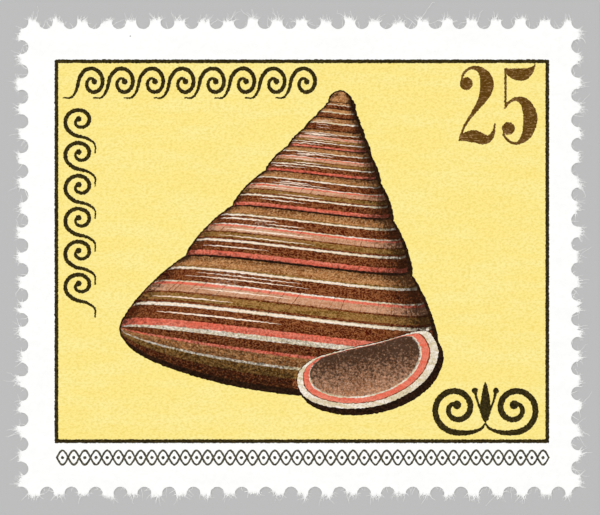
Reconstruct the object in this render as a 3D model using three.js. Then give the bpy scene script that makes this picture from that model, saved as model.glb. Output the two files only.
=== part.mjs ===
// A postage stamp: one small sheet of gummed paper, torn out of its pane along the perforations.
// It lies on its gummed back, printed side up. Millimetres, +Z up, +X along the long side and
// +Y towards the top of the print. The origin is at the middle of the back.
import * as THREE from "three";

const PAPER_THICKNESS = 0.1;
const PAPER_COLOUR = 0xfcfbf6;
const PAPER_ROUGHNESS = 0.85;

// Perforation. A gauge is the number of holes in 20 mm, and a hole stands at each corner.
const GAUGE_LENGTH = 20;
const ROW_PITCH = GAUGE_LENGTH / 14;
const COLUMN_PITCH = GAUGE_LENGTH / 13.73;
const ROW_STEPS = 23;
const COLUMN_STEPS = 19;
const COLUMN_SLIP = 0.18; // the right-hand column stands this much short of a full pitch
const BOTTOM_SLIP = 0.09; // the bottom row's inner holes stand this much to the right
const RIGHT_SLIP = 0.06; // the right-hand column's inner holes stand this much higher
const HOLE_RADIUS = 0.41;
const HOLE_SPREAD = 0.02; // how far a hole may stand off its place, along its row
const ARC_STEP = THREE.MathUtils.degToRad(24);

// The tear. Each bridge of paper between two holes breaks a little outside the line of their
// centres, and ends in tufts of torn fibre.
const TEAR_REACH = { bottom: 0.1, right: 0.1, top: 0.13, left: 0.17 };
const TEAR_SPREAD = 0.05;
const TUFTS = 3;
const TUFT_SHORTEST = 0.05;
const TUFT_LONGEST = 0.42;
const TUFT_LEAN = 0.03;
const VALLEY_SPREAD = 0.02;

const WIDTH = ROW_PITCH * ROW_STEPS - COLUMN_SLIP;
const HEIGHT = COLUMN_PITCH * COLUMN_STEPS;

// A repeatable run of numbers from 0 to 1 (mulberry32).
function seeded(seed) {
  let state = seed;
  return () => {
    state = (state + 0x6d2b79f5) | 0;
    let t = Math.imul(state ^ (state >>> 15), 1 | state);
    t = (t + Math.imul(t ^ (t >>> 7), 61 | t)) ^ t;
    return ((t ^ (t >>> 14)) >>> 0) / 4294967296;
  };
}
const random = seeded(1974);
const spread = (amount) => (2 * random() - 1) * amount;

// Hole positions along a row or a column, from its first corner to its last. The inner holes stand
// off their places by a slip, and each by a little more of its own.
function holesAlong(pitch, steps, length, slip) {
  const place = (i) => (i + 1) * pitch + slip + spread(HOLE_SPREAD);
  return [0, ...Array.from({ length: steps - 1 }, (_, i) => place(i)), length];
}

// How far out a point of the tear lies: even points are in the paper, odd ones are tips of tufts.
function tearDepth(base, index) {
  const isTip = index % 2 === 1;
  const tuft = THREE.MathUtils.lerp(TUFT_SHORTEST, TUFT_LONGEST, random() ** 2);
  return base + (isTip ? tuft : spread(VALLEY_SPREAD));
}

// One side of the sheet. Its own coordinates are u, along the side, and n, outwards.
class Side {
  constructor(corner, along, holes, reach) {
    this.corner = corner;
    this.along = along;
    this.outwards = new THREE.Vector2(along.y, -along.x);
    this.holes = holes;
    this.teeth = holes.slice(1).map((end, i) => this.tooth(holes[i], end, reach));
  }

  // The torn end of the tooth between two holes, from the rim of one to the rim of the next.
  tooth(start, end, reach) {
    const from = reach + spread(TEAR_SPREAD);
    const to = reach + spread(TEAR_SPREAD);
    const first = start + Math.sqrt(HOLE_RADIUS ** 2 - from ** 2);
    const last = end - Math.sqrt(HOLE_RADIUS ** 2 - to ** 2);
    const steps = 2 * TUFTS;
    const inner = Array.from({ length: steps - 1 }, (_, i) => {
      const t = (i + 1) / steps;
      const u = THREE.MathUtils.lerp(first, last, t) + spread(TUFT_LEAN);
      return [u, tearDepth(THREE.MathUtils.lerp(from, to, t), i + 1)];
    });
    return { from, to, points: [[first, from], ...inner, [last, to]] };
  }

  place([u, n]) {
    return this.corner.clone().addScaledVector(this.along, u).addScaledVector(this.outwards, n);
  }
}

// Four sides, counter-clockwise from the bottom left corner.
function sides() {
  const right = new THREE.Vector2(1, 0);
  const up = new THREE.Vector2(0, 1);
  const row = (slip) => holesAlong(ROW_PITCH, ROW_STEPS, WIDTH, slip);
  const rowFromRight = (slip) => row(slip).map((x) => WIDTH - x).reverse();
  const column = (slip) => holesAlong(COLUMN_PITCH, COLUMN_STEPS, HEIGHT, slip);
  return [
    new Side(new THREE.Vector2(0, 0), right, row(BOTTOM_SLIP), TEAR_REACH.bottom),
    new Side(new THREE.Vector2(WIDTH, 0), up, column(RIGHT_SLIP), TEAR_REACH.right),
    new Side(new THREE.Vector2(WIDTH, HEIGHT), right.clone().negate(), rowFromRight(0), TEAR_REACH.top),
    new Side(new THREE.Vector2(0, HEIGHT), up.clone().negate(), column(0), TEAR_REACH.left),
  ];
}

// The wall of the hole that ends a tooth, from that tooth to the next. At a corner the next tooth
// is on the next side, a quarter turn round.
function holeWall(side, centre, reachBefore, reachAfter, atCorner) {
  const start = Math.PI - Math.asin(reachBefore / HOLE_RADIUS);
  const end = (atCorner ? 1.5 : 2) * Math.PI + Math.asin(reachAfter / HOLE_RADIUS);
  const count = Math.ceil((end - start) / ARC_STEP);
  return Array.from({ length: count - 1 }, (_, i) => {
    const angle = start + ((i + 1) / count) * (end - start);
    return side.place([centre + HOLE_RADIUS * Math.cos(angle), HOLE_RADIUS * Math.sin(angle)]);
  });
}

// The whole outline of the sheet, as one closed run of points.
function outline() {
  const allSides = sides();
  return allSides.flatMap((side, s) =>
    side.teeth.flatMap((tooth, i) => {
      const atCorner = i === side.teeth.length - 1;
      const next = atCorner ? allSides[(s + 1) % allSides.length].teeth[0] : side.teeth[i + 1];
      const wall = holeWall(side, side.holes[i + 1], tooth.to, next.from, atCorner);
      return [...tooth.points.map((p) => side.place(p)), ...wall];
    }),
  );
}

function stampSheet() {
  const shape = new THREE.Shape(outline());
  const geometry = new THREE.ExtrudeGeometry(shape, { depth: PAPER_THICKNESS, bevelEnabled: false });
  geometry.computeBoundingBox();
  const middle = geometry.boundingBox.getCenter(new THREE.Vector3());
  geometry.translate(-middle.x, -middle.y, 0);
  const paper = new THREE.MeshStandardMaterial({
    color: PAPER_COLOUR,
    roughness: PAPER_ROUGHNESS,
    metalness: 0,
  });
  const mesh = new THREE.Mesh(geometry, paper);
  mesh.name = "stamp_sheet";
  return mesh;
}

const stamp = new THREE.Group();
stamp.add(stampSheet());

export default stamp;
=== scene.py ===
"""A perforated postage stamp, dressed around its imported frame.

One sheet of gummed paper lies printed side up on a pale floor. Its outline follows the frame's
perforation. The print is laid out in millimetres from the middle of the perforation and becomes
flat regions of the sheet's top face, so nothing printed stands proud of the paper.
"""

from __future__ import annotations

import logging
import math
from dataclasses import dataclass, replace
from enum import Enum
from typing import Callable, Sequence

import bpy
import numpy as np
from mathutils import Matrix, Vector, noise
from mathutils.geometry import delaunay_2d_cdt

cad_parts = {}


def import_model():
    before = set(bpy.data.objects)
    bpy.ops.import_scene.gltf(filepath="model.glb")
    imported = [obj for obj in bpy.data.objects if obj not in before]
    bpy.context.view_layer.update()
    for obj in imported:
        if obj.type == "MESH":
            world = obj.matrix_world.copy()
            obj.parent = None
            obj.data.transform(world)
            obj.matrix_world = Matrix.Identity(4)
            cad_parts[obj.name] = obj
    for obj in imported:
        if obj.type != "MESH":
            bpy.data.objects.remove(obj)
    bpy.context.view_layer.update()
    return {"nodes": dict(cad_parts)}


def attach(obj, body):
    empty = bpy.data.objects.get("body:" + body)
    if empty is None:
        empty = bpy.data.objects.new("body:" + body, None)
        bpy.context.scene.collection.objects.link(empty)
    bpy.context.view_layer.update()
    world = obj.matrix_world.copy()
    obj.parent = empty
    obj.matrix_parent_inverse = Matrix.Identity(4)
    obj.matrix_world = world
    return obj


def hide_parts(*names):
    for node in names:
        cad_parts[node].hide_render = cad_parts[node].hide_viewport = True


LOG = logging.getLogger("stamp")

MM = 0.001  # metres in a millimetre
SHEET_NODE = "stamp_sheet"
BODY = "root"
BAKE_MAP = "OFBake"
NOISE_SEED = 1

Point = tuple[float, float]
Colour = tuple[float, float, float]
Loop = np.ndarray  # rows of x and y in millimetres
Socket = bpy.types.NodeSocket
Fed = object  # what a node's input takes: a value, or another node's output


class Ink(Enum):
    """What each part of the printed face shows. The value is its material slot in the sheet."""

    PAPER = 0
    FIELD = 1
    LINE = 2
    NUMERAL = 3
    FINE = 4
    TAN = 5
    RED_BROWN = 6
    CREAM = 7
    OLIVE = 8
    CORAL = 9
    ROSE = 10
    BLACK = 11
    WHITE = 12


class Side(Enum):
    """Surfaces of the sheet that carry no print. The value is the material slot."""

    GUM = 13
    EDGE = 14


@dataclass(frozen=True)
class Patch:
    """One printed shape. A later patch prints over an earlier one.

    Attributes:
        ink: what it is printed in.
        loop: its outline.
    """

    ink: Ink
    loop: Loop


def smoothstep(low: float, high: float, value: np.ndarray) -> np.ndarray:
    """Returns 0 before low, 1 past high, and a smooth rise between them. high may be lower."""
    t = np.clip((value - low) / (high - low), 0.0, 1.0)
    return t * t * (3 - 2 * t)


def unit_vectors(turn: np.ndarray) -> np.ndarray:
    """Returns the unit vector at each of some angles."""
    return np.stack([np.cos(turn), np.sin(turn)], axis=1)


def unit(vectors: np.ndarray) -> np.ndarray:
    """Returns the vectors at a length of one."""
    return vectors / np.maximum(np.hypot(*vectors.T), 1e-9)[:, None]


def counter_clockwise(loop: Loop) -> Loop:
    """Turns a closed loop round if it runs clockwise.

    Args:
        loop: the loop.

    Returns:
        The loop, counter-clockwise.
    """
    x, y = loop.T
    area = np.dot(x, np.roll(y, -1)) - np.dot(y, np.roll(x, -1))
    return loop if area > 0 else loop[::-1]


def densified(loop: Loop, step: float) -> Loop:
    """Adds points to a closed loop, so that no side is longer than a step.

    Args:
        loop: the loop.
        step: the longest that a side may be.

    Returns:
        The loop with its old and new points.
    """
    ends = np.roll(loop, -1, axis=0)
    counts = np.maximum(1, np.ceil(np.hypot(*(ends - loop).T) / step)).astype(int)
    runs = [a + (b - a) * (np.arange(n) / n)[:, None] for a, b, n in zip(loop, ends, counts)]
    return np.concatenate(runs)


def shaken(loop: Loop, amount: float, grain: float) -> Loop:
    """Returns the loop moved by about an amount, by noise of a grain, alike where loops meet."""
    moved = [noise.noise_vector(Vector((x / grain, y / grain, 0.5))) for x, y in loop]
    return loop + amount * np.array([(m.x, m.y) for m in moved])


def printed(loop: Loop, step: float = 0.036, amount: float = 0.042) -> Loop:
    """Returns the closed loop with the fine uneven edge that a printing screen leaves."""
    grain = 1.35 * step
    return shaken(densified(loop, step), amount, grain)


def outward_normals(loop: Loop) -> np.ndarray:
    """Returns the unit outward normal at each point of a counter-clockwise loop."""
    along = unit(np.roll(loop, -1, axis=0) - np.roll(loop, 1, axis=0))
    return np.stack([along[:, 1], -along[:, 0]], axis=1)


def grown(loop: Loop, distance: float) -> Loop:
    """Returns the loop grown outwards by a distance, or shrunk by a negative one."""
    loop = counter_clockwise(loop)
    return loop + distance * outward_normals(loop)


def within(loop: Loop, points: Loop) -> np.ndarray:
    """Finds the points that a loop goes round, which may cross itself.

    Args:
        loop: the closed loop.
        points: any points.

    Returns:
        Whether each point is inside.
    """
    order = np.argsort(points[:, 1])
    x, y = points[order].T
    ends = np.roll(loop, -1, axis=0)
    lows = np.searchsorted(y, np.minimum(loop[:, 1], ends[:, 1]))
    highs = np.searchsorted(y, np.maximum(loop[:, 1], ends[:, 1]))
    turns = np.zeros(len(points), int)
    for (x0, y0), (x1, y1), low, high in zip(loop, ends, lows, highs):
        if low < high:
            across = x0 + (y[low:high] - y0) * (x1 - x0) / (y1 - y0)
            turns[low:high] += np.where(x[low:high] < across, np.sign(y1 - y0).astype(int), 0)
    inside = np.empty(len(points), bool)
    inside[order] = turns != 0
    return inside


def curve_through(knots: Sequence[Sequence[float]], per_span: int, closed: bool = False) -> np.ndarray:
    """Draws a smooth curve through some knots.

    Args:
        knots: rows of any length. A third column may hold a width.
        per_span: how many points each span between two knots gets.
        closed: whether the last knot joins the first.

    Returns:
        The curve's points, as rows like the knots'.
    """
    k = np.array(knots, float)
    before, after = (k[-1], k[:2]) if closed else (2 * k[0] - k[1], 2 * k[-1:] - k[-2:-1])
    k = np.vstack([before, k, after])
    t = (np.arange(per_span) / per_span)[:, None]
    spans = []
    for p0, p1, p2, p3 in zip(k, k[1:], k[2:], k[3:]):
        bend = (2 * p0 - 5 * p1 + 4 * p2 - p3) * t**2 + (3 * p1 - p0 - 3 * p2 + p3) * t**3
        spans.append(p1 + 0.5 * ((p2 - p0) * t + bend))
    return np.vstack(spans if closed else [*spans, k[-2]])


def stroke(line: np.ndarray, widths: float | np.ndarray, end_points: int = 5) -> Loop:
    """Draws a line with a round pen.

    Args:
        line: the pen's path.
        widths: the line's width, one for all or one for each point.
        end_points: how many points each round end has.

    Returns:
        The drawn line's outline.
    """
    half = np.broadcast_to(np.asarray(widths, float) / 2, len(line))
    along = unit(np.gradient(line, axis=0))
    left = np.stack([-along[:, 1], along[:, 0]], axis=1) * half[:, None]
    turn = np.linspace(0, math.pi, end_points + 2)[1:-1, None]
    last = line[-1] + half[-1] * along[-1] * np.sin(turn) - left[-1] * np.cos(turn)
    first = line[0] - half[0] * along[0] * np.sin(turn) + left[0] * np.cos(turn)
    return np.vstack([line - left, last, (line + left)[::-1], first])


def disc(centre: Point, radius: float, count: int = 14) -> Loop:
    """Returns a round spot."""
    turn = np.linspace(0, 2 * math.pi, count, endpoint=False)
    return np.array(centre) + radius * unit_vectors(turn)


@dataclass(frozen=True)
class Perforation:
    """The holes round the sheet, read from the frame's sheet.

    Attributes:
        holes: hole centres, counter-clockwise, in millimetres.
        thickness: of the paper, in millimetres.
        hole_radius: of every hole, in millimetres.
    """

    holes: np.ndarray
    thickness: float
    hole_radius: float

    # How near a circle through three points comes to a hole's radius, how near the centres of a
    # hole's circles lie, how few of them make a hole, and how near its row's line a hole lies.
    RADIUS_TOLERANCE = 0.004
    CENTRE_TOLERANCE = 0.02
    FEWEST_CIRCLES = 4
    ROW_TOLERANCE = 0.1

    @classmethod
    def read(cls, node: bpy.types.Object, hole_radius: float = 0.41) -> Perforation:
        """Finds the holes in the outline of the frame's sheet.

        Args:
            node: the frame's sheet.
            hole_radius: what the frame's holes measure.

        Returns:
            The perforation.
        """
        outline, thickness = cls.outline_of(node.data)
        a, b, c = outline, np.roll(outline, -1, axis=0), np.roll(outline, -2, axis=0)
        centres, radii = cls.circles_through(a, b, c)
        likely = centres[np.abs(radii - hole_radius) < cls.RADIUS_TOLERANCE]
        holes: list[np.ndarray] = []
        for centre in likely:
            same = np.hypot(*(likely - centre).T) < cls.CENTRE_TOLERANCE
            is_new = all(np.hypot(*(centre - hole)) > hole_radius for hole in holes)
            if same.sum() >= cls.FEWEST_CIRCLES and is_new:
                holes.append(likely[same].mean(0))
        return cls(cls.in_order(np.array(holes)), thickness, hole_radius)

    @staticmethod
    def outline_of(mesh: bpy.types.Mesh) -> tuple[Loop, float]:
        """Follows the rim of a mesh's top face.

        Args:
            mesh: the sheet as loose triangles.

        Returns:
            The rim, and how high it lies.
        """
        places = np.array([v.co for v in mesh.vertices]) / MM
        top = places[:, 2].max()
        nexts: dict[Point, set[Point]] = {}
        for face in mesh.polygons:
            corners = places[list(face.vertices)]
            if (corners[:, 2] > top - 1e-3).all():
                keys = [tuple(np.round(p[:2], 4).tolist()) for p in corners]
                for start, end in zip(keys, keys[1:] + keys[:1]):
                    nexts.setdefault(start, set()).add(end)
        rim = {s: e for s, ends in nexts.items() for e in ends if s not in nexts.get(e, ())}
        point = next(iter(rim))
        outline = [point]
        while (point := rim[point]) != outline[0]:
            outline.append(point)
        return np.array(outline), float(top)

    @staticmethod
    def circles_through(a: Loop, b: Loop, c: Loop) -> tuple[Loop, np.ndarray]:
        """Fits circles, each through three points.

        Args:
            a: the first point of each circle.
            b: the second ones.
            c: the third ones.

        Returns:
            The circles' centres and radii.
        """
        ab, ac = b - a, c - a
        cross = 2 * (ab[:, 0] * ac[:, 1] - ab[:, 1] * ac[:, 0])
        cross[np.abs(cross) < 1e-12] = 1e-12
        ab2, ac2 = (ab**2).sum(1), (ac**2).sum(1)
        x = (ac[:, 1] * ab2 - ab[:, 1] * ac2) / cross
        y = (ab[:, 0] * ac2 - ac[:, 0] * ab2) / cross
        return a + np.stack([x, y], axis=1), np.hypot(x, y)

    @classmethod
    def in_order(cls, holes: Loop) -> Loop:
        """Puts the holes in order, counter-clockwise from the bottom left corner.

        Args:
            holes: their centres.

        Returns:
            The centres in order.
        """
        (left, bottom), (right, top) = holes.min(0) + cls.ROW_TOLERANCE, holes.max(0) - cls.ROW_TOLERANCE
        rows = [
            sorted(holes[holes[:, 1] < bottom].tolist()),
            sorted(holes[holes[:, 0] > right].tolist(), key=lambda h: h[1]),
            sorted(holes[holes[:, 1] > top].tolist(), reverse=True),
            sorted(holes[holes[:, 0] < left].tolist(), key=lambda h: -h[1]),
        ]
        return np.array([hole for row in rows for hole in row[:-1]])

    @property
    def middle(self) -> np.ndarray:
        """The middle of the rectangle that the hole centres stand on."""
        return (self.holes.min(0) + self.holes.max(0)) / 2


@dataclass(frozen=True)
class Edge:
    """The sheet's finished outline, or a part of it.

    Attributes:
        points: the outline, counter-clockwise.
        outward: unit outward direction at each point.
        torn: 1 where the paper is torn, and 0 on a hole's wall.
    """

    points: Loop
    outward: np.ndarray
    torn: np.ndarray

    @classmethod
    def joined(cls, parts: Sequence[Edge]) -> Edge:
        """Returns some parts as one outline."""
        columns = zip(*((part.points, part.outward, part.torn) for part in parts))
        return cls(*(np.concatenate(column) for column in columns))


@dataclass(frozen=True)
class TearOff:
    """How the sheet was torn along its holes.

    Attributes:
        reach: how far outside the hole centres a tooth breaks, about.
        left_reach, right_reach: the same on the left-hand and right-hand sides.
        reach_spread: how much that differs from tooth to tooth.
        reach_limits: the least and the most that it may be.
        ragged: how far the break wanders.
        swell_scale, tuft_scale: how many of the break's wide and narrow swells there are in 1 mm.
        tuft_share: the height of the narrow swells, over that of the wide ones.
        wall_shake: how uneven a hole's wall is.
        wall_grain: the size of a wall's swells.
        step: from one point of the outline to the next.
        seed: for the random part.
    """

    reach: float = 0.01
    left_reach: float = 0.035
    right_reach: float = -0.045
    reach_spread: float = 0.085
    reach_limits: Point = (-0.15, 0.3)
    ragged: float = 0.16
    swell_scale: float = 5.0
    tuft_scale: float = 16.0
    tuft_share: float = 1.5
    wall_shake: float = 0.016
    wall_grain: float = 0.11
    step: float = 0.03
    seed: int = 7

    def edge(self, perforation: Perforation) -> Edge:
        """Tears the sheet off.

        Args:
            perforation: the holes that it is torn along.

        Returns:
            The outline: each hole's wall, then the torn end of the tooth after it.
        """
        rng = np.random.default_rng(self.seed)
        holes, radius = perforation.holes, perforation.hole_radius
        along = unit(np.roll(holes, -1, axis=0) - holes)
        out = np.stack([along[:, 1], -along[:, 0]], axis=1)
        sideways = np.round(out[:, :1]).astype(int)
        usual = np.choose(sideways + 1, (self.left_reach, self.reach, self.right_reach))
        reach = np.clip(rng.normal(usual, self.reach_spread, (len(holes), 2)), *self.reach_limits)
        side = np.sqrt(radius**2 - reach**2)
        starts = holes + along * side[:, :1] + out * reach[:, :1]
        ends = np.roll(holes, -1, axis=0) - along * side[:, 1:] + out * reach[:, 1:]
        parts = []
        for i, hole in enumerate(holes):
            parts.append(self.wall(hole, ends[i - 1], starts[i], radius))
            parts.append(self.tear(starts[i], ends[i], out[i]))
        return Edge.joined(parts)

    def wall(self, hole: np.ndarray, start: np.ndarray, end: np.ndarray, radius: float) -> Edge:
        """Draws a hole's wall.

        Args:
            hole: the hole's centre.
            start: where the wall starts.
            end: where it ends.
            radius: of the hole.

        Returns:
            The wall, without its end.
        """
        first, last = (math.atan2(*(p - hole)[::-1]) for p in (start, end))
        sweep = (first - last) % (2 * math.pi)
        count = math.ceil(sweep * radius / self.step)
        spoke = unit_vectors(first - sweep * np.arange(count) / count)
        points = shaken(hole + radius * spoke, self.wall_shake, self.wall_grain)
        return Edge(points, -spoke, np.zeros(count))

    def tear(self, start: np.ndarray, end: np.ndarray, out: np.ndarray) -> Edge:
        """Draws a tooth's torn end.

        Args:
            start: where the tear starts.
            end: where it ends.
            out: the direction outwards.

        Returns:
            The tear, without its end.
        """
        count = math.ceil(np.hypot(*(end - start)) / self.step)
        t = np.arange(count) / count
        line = start + (end - start) * t[:, None]
        swells = np.array([noise.noise(Vector((*p, 3.0)) * self.swell_scale) for p in line])
        tufts = np.array([noise.noise(Vector((*p, 9.0)) * self.tuft_scale) for p in line])
        wander = self.ragged * (swells + self.tuft_share * np.abs(tufts)) * np.sin(math.pi * t) ** 0.5
        return Edge(line + out * wander[:, None], np.tile(out, (count, 1)), np.ones(count))


@dataclass(frozen=True)
class PictureFrame:
    """The thin dark frame and the yellow field inside it.

    Attributes:
        left, right, bottom, top: the frame's outer sides.
        line: the width of its line.
        outer_corners: how round the line is at its corners, counter-clockwise from the bottom left.
        inner_corners: the same for the field.
        corner_points: how many points a round corner has.
    """

    left: float = -14.39
    right: float = 14.63
    bottom: float = -10.87
    top: float = 11.64
    line: float = 0.22
    outer_corners: tuple[float, ...] = (0.07, 0.07, 0.07, 0.13)
    inner_corners: tuple[float, ...] = (0.03, 0.03, 0.03, 0.03)
    corner_points: int = 4

    def rectangle(self, inset: float, radii: Sequence[float]) -> Loop:
        """Draws the frame's rectangle.

        Args:
            inset: how far it is drawn in.
            radii: of its corners, counter-clockwise from the bottom left.

        Returns:
            Its outline, with a printed edge.
        """
        x0, x1 = self.left + inset, self.right - inset
        y0, y1 = self.bottom + inset, self.top - inset
        corners = [(x0, y0), (x1, y0), (x1, y1), (x0, y1)]
        rounded = []
        for corner, first, radius in zip(corners, (180, 270, 0, 90), radii):
            way = unit_vectors(np.radians(np.linspace(first, first + 90, self.corner_points)))
            rounded.append(np.array(corner) + radius * (way - np.sign(way.sum(0))))
        return printed(np.vstack(rounded))

    def patches(self) -> list[Patch]:
        """Returns the frame's line with the field over it."""
        line = self.rectangle(0, self.outer_corners)
        return [Patch(Ink.LINE, line), Patch(Ink.FIELD, self.rectangle(self.line, self.inner_corners))]


def spiral(centre: Point, first: float, last: float, radii: Point, squeeze: float = 1.0) -> Loop:
    """Draws a path that winds clockwise round a centre.

    Args:
        centre: what it winds round.
        first: the angle that it starts at, in degrees.
        last: the angle that it ends at, less than the first.
        radii: its radius at the start and at the end.
        squeeze: its width, over its height.

    Returns:
        The path, with a point about every 11 degrees.
    """
    t = np.linspace(0, 1, math.ceil((first - last) / 11))
    way = unit_vectors(np.radians(first + (last - first) * t)) * (squeeze, 1)
    radius = radii[0] + (radii[1] - radii[0]) * t
    return np.array(centre) + radius[:, None] * way


def pen_widths(pen: float, count: int, foot: float, swell: float, full: float, fade: float) -> np.ndarray:
    """Returns a pen's width along a curl: thin at its foot, full over the crest, finer in the eye."""
    t = np.linspace(0, 1, count)
    return pen * (foot + swell * smoothstep(0, full, t) - fade * smoothstep(0.6, 1, t))


@dataclass(frozen=True)
class WaveScroll:
    """A running band of curling waves, an old border ornament.

    Attributes:
        start: where the band begins, on its foot.
        heading: the band's direction, in degrees.
        pitch: from one wave to the next.
        height: of a wave.
        count: of waves.
        pen: the line's width.
    """

    start: Point
    heading: float
    pitch: float
    height: float
    count: int
    pen: float

    # The curl: how high its middle lies, over the wave's height, the angles that it starts and ends
    # at, its radii there, over the room above its middle, and how narrow it is.
    CURL_MIDDLE = 0.51
    CURL_TURN = (128, -330)
    CURL_RADII = (1.06, 0.17)
    CURL_SQUEEZE = 0.93
    # The wave's path before the curl: in the trough, as x over the pitch and y over half the pen's
    # width, and up its back, as x over the pitch and y over the height.
    TROUGH = ((0.04, 1.0), (0.30, 1.3))
    BACK = ((0.47, 0.30), (0.57, 0.66))
    BEAD = 0.85  # a bead's radius, over the pen's width

    def patches(self) -> list[Patch]:
        """Draws the waves, each with a bead in its eye.

        Returns:
            The patches of the band.
        """
        turn = math.radians(self.heading)
        along = np.array([math.cos(turn), math.sin(turn)])
        axes = np.array([along, (-along[1], along[0])])
        wave = self.wave()
        widths = pen_widths(self.pen, len(wave), foot=0.45, swell=0.7, full=0.35, fade=0.35)
        loops = [stroke(wave, widths), disc(wave[-1], self.BEAD * self.pen)]
        shifts = [(i * self.pitch, 0) for i in range(self.count)]
        placed = [np.array(self.start) + (loop + shift) @ axes for shift in shifts for loop in loops]
        return [Patch(Ink.LINE, printed(loop)) for loop in placed]

    def wave(self) -> Loop:
        """Draws one wave.

        Returns:
            The pen's path: out of the trough, up the wave's back and into the curl.
        """
        foot = self.pen / 2
        centre = (self.pitch, self.CURL_MIDDLE * self.height)
        outer = self.height - centre[1] - foot
        squeeze = self.CURL_SQUEEZE * self.pitch / self.height
        radii = (outer * self.CURL_RADII[0], outer * self.CURL_RADII[1])
        curl = spiral(centre, *self.CURL_TURN, radii, squeeze)
        knots = [(x * self.pitch, y * foot) for x, y in self.TROUGH]
        knots += [(x * self.pitch, y * self.height) for x, y in self.BACK]
        return np.vstack([curve_through([*knots, *curl[:2]], 7)[:-8], curl])


@dataclass(frozen=True)
class VolutePair:
    """Two curls back to back with a bud between them.

    Attributes:
        middle: the middle of the pair's foot.
        reach: from the middle to a curl's centre.
        height: of the pair.
        pen: the line's width.
    """

    middle: Point = (10.89, -10.42)
    reach: float = 1.72
    height: float = 3.15
    pen: float = 0.33

    # The curl: the angles that it starts and ends at, and its last radius, over its first.
    CURL_TURN = (-90, -640)
    CURL_EYE = 0.16
    # Places from the middle of the pair's foot: knots of the line that leads to the left-hand curl,
    # how far left it touches the foot, knots of the shoot beside it, how high the bud starts, and
    # how wide the bud is to each side and at which height.
    RISE = ((0, 0.72), (-0.28, 0.38))
    RISE_FOOT = -0.95
    SHOOT = ((-0.12, 0.9), (-0.32, 1.6), (-0.5, 2.1), (-0.62, 2.62))
    BUD_FOOT = 0.75
    BUD_WAIST = (0.3, 1.75)

    def patches(self) -> list[Patch]:
        """Draws the two curls, the bud and its two side shoots.

        Returns:
            The patches of the pair.
        """
        outer = (self.height - self.pen) / 2
        radii = (outer, self.CURL_EYE * outer)
        curl = spiral((-self.reach, self.height / 2), *self.CURL_TURN, radii)
        rise = curve_through([*self.RISE, (self.RISE_FOOT, self.pen / 2), *curl[:2]], 6)
        path = np.vstack([rise[:-7], curl])
        widths = pen_widths(self.pen, len(path), foot=0.35, swell=0.75, full=0.3, fade=0.3)
        shoot = curve_through(self.SHOOT, 6)
        half = [
            stroke(path, widths), disc(path[-1], 0.8 * self.pen, 22),
            stroke(shoot, self.pen * np.linspace(0.3, 0.55, len(shoot))),
            disc(shoot[-1], 0.55 * self.pen, 18),
        ]
        x, y = self.BUD_WAIST
        bud = curve_through([(0, self.BUD_FOOT), (x, y), (0, self.height), (-x, y)], 9, closed=True)
        loops = [loop * (sign, 1) for loop in half for sign in (1, -1)] + [bud]
        return [Patch(Ink.LINE, printed(loop + self.middle)) for loop in loops]


@dataclass(frozen=True)
class EyeChain:
    """A fine guilloche: two crossing waves, with a bead in each eye.

    Attributes:
        left, right: the chain's ends.
        middle: how high its middle lies.
        height: of the chain.
        eyes: how many there are.
        pen: the width of a wave's line.
        bead: the radius of a bead.
        points_per_eye: how many points of a wave there are along an eye.
        uneven: how uneven the lines' edges are.
        uneven_grain: the size of that noise's swells.
    """

    left: float = -14.25
    right: float = 14.6
    middle: float = -11.72
    height: float = 0.95
    eyes: int = 44
    pen: float = 0.115
    bead: float = 0.10
    points_per_eye: int = 20
    uneven: float = 0.025
    uneven_grain: float = 0.1

    def patches(self) -> list[Patch]:
        """Draws the two waves and the beads.

        Returns:
            The patches of the chain.
        """
        pitch = (self.right - self.left) / self.eyes
        x = np.linspace(self.left, self.right, self.eyes * self.points_per_eye + 1)
        swing = (self.height - self.pen) / 2 * np.sin(math.pi * (x - self.left) / pitch)
        waves = [np.stack([x, self.middle + sign * swing], axis=1) for sign in (1, -1)]
        beads = [(self.left + (i + 0.5) * pitch, self.middle) for i in range(self.eyes)]
        loops = [stroke(wave, self.pen) for wave in waves] + [disc(bead, self.bead) for bead in beads]
        return [Patch(Ink.FINE, shaken(loop, self.uneven, self.uneven_grain)) for loop in loops]


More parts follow.
